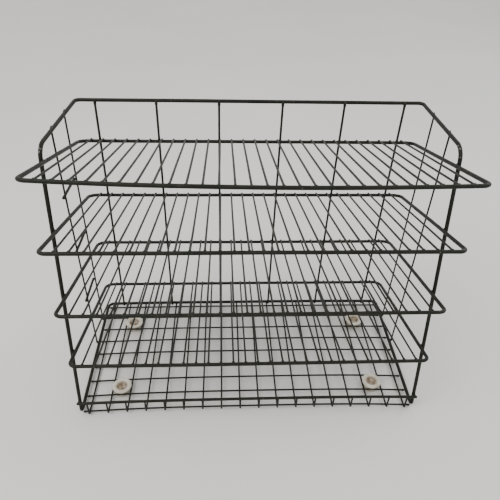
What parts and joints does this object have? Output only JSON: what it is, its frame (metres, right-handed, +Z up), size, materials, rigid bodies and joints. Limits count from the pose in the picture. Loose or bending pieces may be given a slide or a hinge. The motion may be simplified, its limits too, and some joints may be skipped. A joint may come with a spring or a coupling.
{
  "type": "dish drying rack",
  "caption": "Tiered dish drying rack of welded coated wire: an open-front frame with tilted shelves over a wire grid base on rubber cup feet.",
  "frame": {"origin": "under the middle of the rack's box, on the surface it stands on", "axes": "+X along the rack's width, +Y from the open front to the back, +Z up"},
  "size_m": [0.4568, 0.221, 0.3574],
  "materials": {
    "coated_wire": "black-green plastic dip over steel wire, satin, worn thin at bends",
    "cream_rubber": "aged cream rubber, matt, brown dirt in the cups"
  },
  "bodies": {
    "root": {"main_frame_wire": "coated_wire", "base_front_rail": "coated_wire", "back_upright_1": "coated_wire", "back_upright_2": "coated_wire", "back_upright_3": "coated_wire", "back_upright_4": "coated_wire", "back_upright_5": "coated_wire", "back_upright_6": "coated_wire", "left_side_upright_front": "coated_wire", "left_side_upright_rear": "coated_wire", "right_side_upright_front": "coated_wire", "right_side_upright_rear": "coated_wire", "left_side_bar_1": "coated_wire", "left_side_bar_2": "coated_wire", "left_side_bar_3": "coated_wire", "floor_wire_1": "coated_wire", "floor_wire_2": "coated_wire", "floor_wire_3": "coated_wire", "floor_wire_4": "coated_wire", "floor_wire_5": "coated_wire", "floor_wire_6": "coated_wire", "floor_wire_7": "coated_wire", "floor_wire_8": "coated_wire", "floor_wire_9": "coated_wire", "floor_wire_10": "coated_wire", "floor_wire_11": "coated_wire", "floor_wire_12": "coated_wire", "floor_wire_13": "coated_wire", "floor_wire_14": "coated_wire", "floor_wire_15": "coated_wire", "floor_wire_16": "coated_wire", "floor_wire_17": "coated_wire", "floor_wire_18": "coated_wire", "floor_cross_wire_1": "coated_wire", "floor_cross_wire_2": "coated_wire", "floor_cross_wire_3": "coated_wire", "floor_cross_wire_4": "coated_wire", "floor_cross_wire_5": "coated_wire", "floor_cross_wire_6": "coated_wire", "floor_cross_wire_7": "coated_wire", "floor_cross_wire_8": "coated_wire", "floor_cross_wire_9": "coated_wire", "shelf_1": "coated_wire", "shelf_2": "coated_wire", "shelf_3": "coated_wire", "shelf_4": "coated_wire", "rubber_foot_front_left": "cream_rubber", "rubber_foot_front_right": "cream_rubber", "rubber_foot_rear_left": "cream_rubber", "rubber_foot_rear_right": "cream_rubber"}
  },
  "joints": []
}
